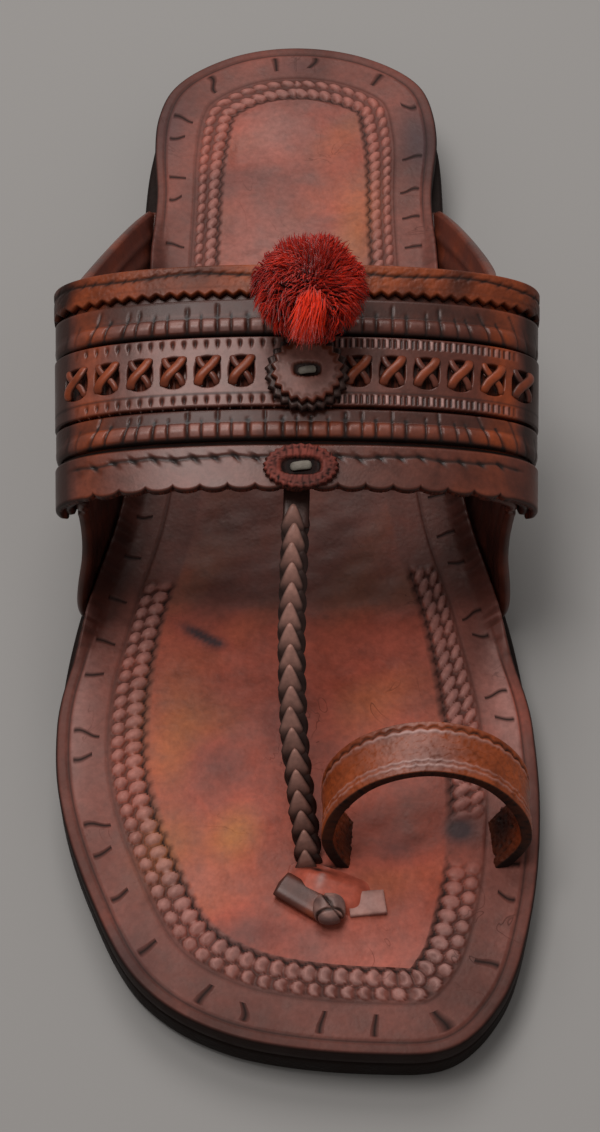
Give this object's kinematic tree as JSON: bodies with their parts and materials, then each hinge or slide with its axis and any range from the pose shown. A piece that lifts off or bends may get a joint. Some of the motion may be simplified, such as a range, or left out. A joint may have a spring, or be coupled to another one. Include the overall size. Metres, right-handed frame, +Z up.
{
  "type": "leather toe-loop sandal",
  "caption": "Flat leather sandal for the right foot with a broad instep band, a braid to a big-toe loop, a rosette and a thread pompom.",
  "frame": {"origin": "on the floor, under the middle of the sandal's box", "axes": "+Z up, -Y to the toe, +X to the big toe's side"},
  "size_m": [0.1088, 0.2801, 0.09],
  "materials": {
    "insole_leather": "vegetable-tanned, hand-dyed and burnished",
    "sole_leather": "thick hide with a blackened edge",
    "band_leather": "dyed and waxed, semi-gloss",
    "tan_leather": "tan grain leather, semi-gloss",
    "braid_leather": "dark brown laces, semi-gloss",
    "red_thread": "cut thread, matte"
  },
  "bodies": {
    "root": {"outsole": "sole_leather", "heel_lift_lower": "sole_leather", "heel_lift_upper": "sole_leather", "insole": "insole_leather", "ear_outer_side": "band_leather", "ear_inner_side": "band_leather", "instep_band": "band_leather", "front_facing": "band_leather", "front_cord": "band_leather", "weave_panel": "band_leather", "rear_cord": "band_leather", "rear_binding": "tan_leather", "rosette_base": "braid_leather", "rosette": "band_leather", "rosette_tie": "braid_leather", "medallion": "band_leather", "medallion_tie": "braid_leather", "pompom": "red_thread", "braid": "braid_leather", "toe_loop": "tan_leather", "tail_strap": "braid_leather", "tail_knot": "braid_leather"}
  },
  "joints": []
}
